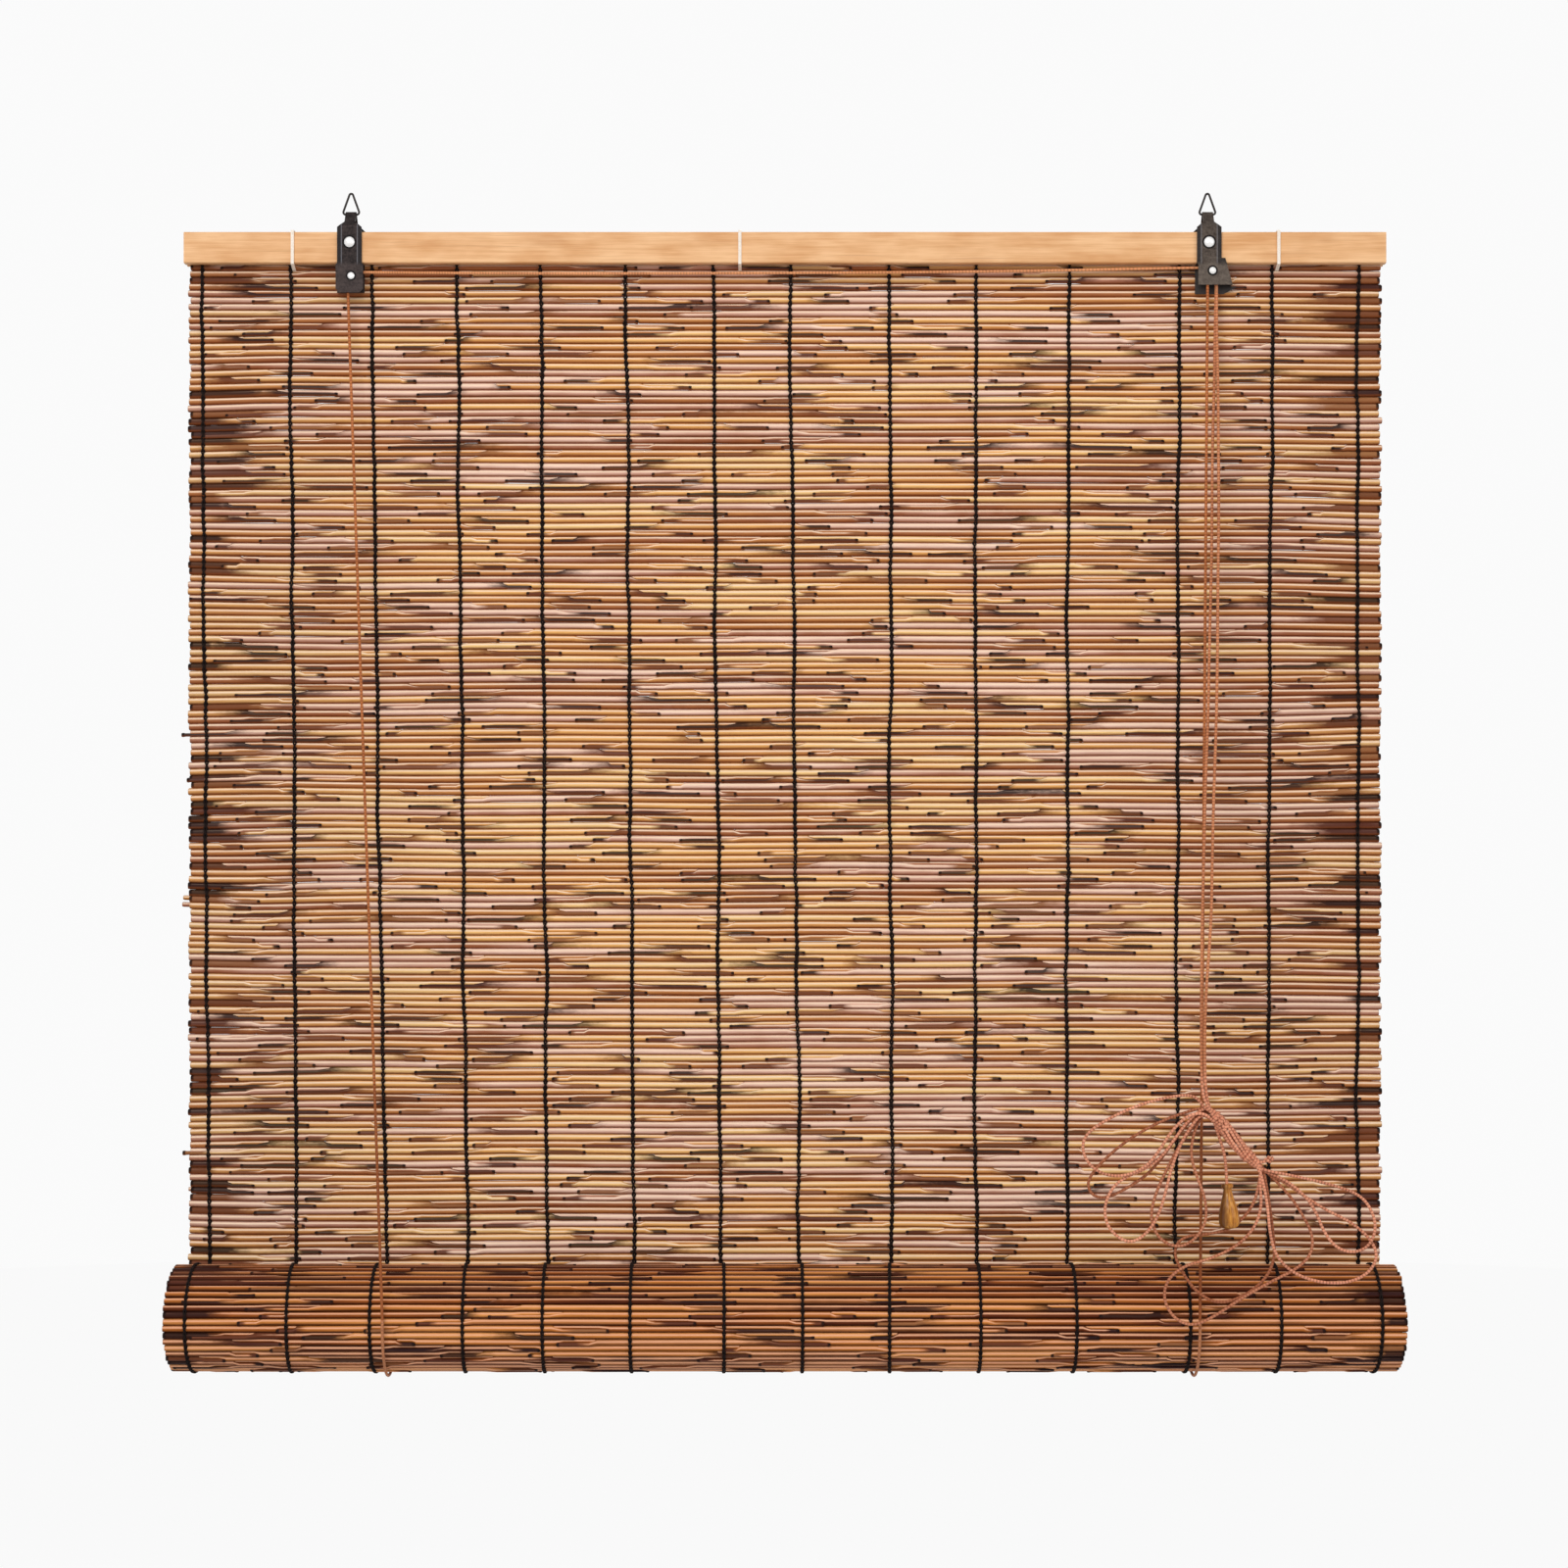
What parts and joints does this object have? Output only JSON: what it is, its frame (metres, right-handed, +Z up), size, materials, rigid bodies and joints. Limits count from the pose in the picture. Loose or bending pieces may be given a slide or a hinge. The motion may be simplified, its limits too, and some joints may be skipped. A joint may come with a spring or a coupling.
{
  "type": "roll-up reed blind",
  "caption": "Roll-up blind of split reeds hung from a wooden head rail by two wire rings, with cord lift, cord lock and wooden pull.",
  "frame": {"origin": "where the blind hangs: level with the inside of the tops of its two hanging rings, at the middle of the rail's length, in the plane of the reed mat", "axes": "+X along the rail to the right as seen from the front, +Y back through the blind, +Z up"},
  "size_m": [1, 0.1264, 0.98],
  "materials": {
    "rail_wood": "satin, light golden wood with a soft grain",
    "reed": "natural carbonised reed, golden tan with darker stretches",
    "batten_wood": "plain sawn wood",
    "warp_thread": "dark twisted thread",
    "tie_cord": "cream cord",
    "left_metal": "dark grey satin coating",
    "right_metal": "grey brown satin coating",
    "dark_metal": "black satin coating",
    "bright_rivet": "plain plated steel",
    "pulley_plastic": "moulded nylon",
    "copper_cord": "braided cord in copper brown",
    "pull_wood": "glossy varnished wood"
  },
  "bodies": {
    "blind": {"head_rail_front": "rail_wood", "head_rail_back": "rail_wood", "left_tie": "tie_cord", "middle_tie": "tie_cord", "right_tie": "tie_cord", "reed_mat": "reed", "mat_threads": "warp_thread", "left_hanger_strap": "left_metal", "right_hanger_strap": "right_metal", "left_pulley_cheek": "left_metal", "right_lock_cheek": "dark_metal", "left_rail_rivet": "bright_rivet", "right_rail_rivet": "bright_rivet", "left_pulley_axle": "bright_rivet", "right_pulley_axle": "bright_rivet", "lift_cord_left_front": "copper_cord", "lift_cord_right_front": "copper_cord", "lift_cord_left_back": "copper_cord", "lift_cord_right_back": "copper_cord", "left_stopper_knot": "copper_cord", "right_stopper_knot": "copper_cord", "cross_cord": "copper_cord", "lock_cord": "copper_cord", "pull_cord_left": "copper_cord", "pull_cord_right": "copper_cord"},
    "left_ring": {"left_ring": "left_metal"},
    "right_ring": {"right_ring": "right_metal"},
    "left_pulley": {"left_pulley": "pulley_plastic"},
    "right_pulley": {"right_pulley": "pulley_plastic"},
    "lock_roller": {"lock_roller": "dark_metal"},
    "lift_slings": {"left_sling": "copper_cord", "right_sling": "copper_cord"},
    "roll": {"reed_roll": "reed", "roll_threads": "warp_thread", "bottom_batten": "batten_wood"},
    "pull_cords": {"main_knot": "copper_cord", "left_loops": "copper_cord", "right_loops": "copper_cord", "side_binding": "copper_cord", "bead_cord": "copper_cord", "wooden_pull": "pull_wood"}
  },
  "joints": [
    {"name": "roll_lift", "type": "slide", "parent": "blind", "child": "lift_slings", "axis": [0, 0, 1], "range_m": [0, 0.79], "deforming": ["reed_mat", "mat_threads", "lift_cord_left_front", "lift_cord_right_front", "lift_cord_left_back", "lift_cord_right_back"]},
    {"name": "roll_turn", "type": "hinge", "parent": "lift_slings", "child": "roll", "pos_m": [0, -0.044, -0.929], "axis": [1, 0, 0], "range_deg": [-1036, 0]},
    {"name": "cord_pull", "type": "slide", "parent": "blind", "child": "pull_cords", "axis": [0, 0, -1], "range_m": [0, 1.58], "deforming": ["pull_cord_left", "pull_cord_right"]},
    {"name": "left_pulley_spin", "type": "hinge", "parent": "blind", "child": "left_pulley", "pos_m": [-0.3606, -0.0093, -0.0693], "axis": [0, 1, 0], "continuous": true},
    {"name": "right_pulley_spin", "type": "hinge", "parent": "blind", "child": "right_pulley", "pos_m": [0.3554, -0.0093, -0.065], "axis": [0, 1, 0], "continuous": true},
    {"name": "left_ring_swing", "type": "hinge", "parent": "blind", "child": "left_ring", "pos_m": [-0.362, -0.00245, -0.01649], "axis": [1, 0, 0], "range_deg": [-100, 100]},
    {"name": "right_ring_swing", "type": "hinge", "parent": "blind", "child": "right_ring", "pos_m": [0.3526, -0.00245, -0.01649], "axis": [1, 0, 0], "range_deg": [-100, 100]},
    {"name": "lock_release", "type": "slide", "parent": "blind", "child": "lock_roller", "axis": [0.2588, 0, -0.9659], "range_m": [0, 0.004]}
  ],
  "couplings": [
    {"joint": "roll_turn", "follows": "roll_lift", "rad_per_m": -22.727},
    {"joint": "cord_pull", "follows": "roll_lift", "ratio": 2},
    {"joint": "left_pulley_spin", "follows": "roll_lift", "rad_per_m": 540.54},
    {"joint": "right_pulley_spin", "follows": "roll_lift", "rad_per_m": 540.54}
  ]
}
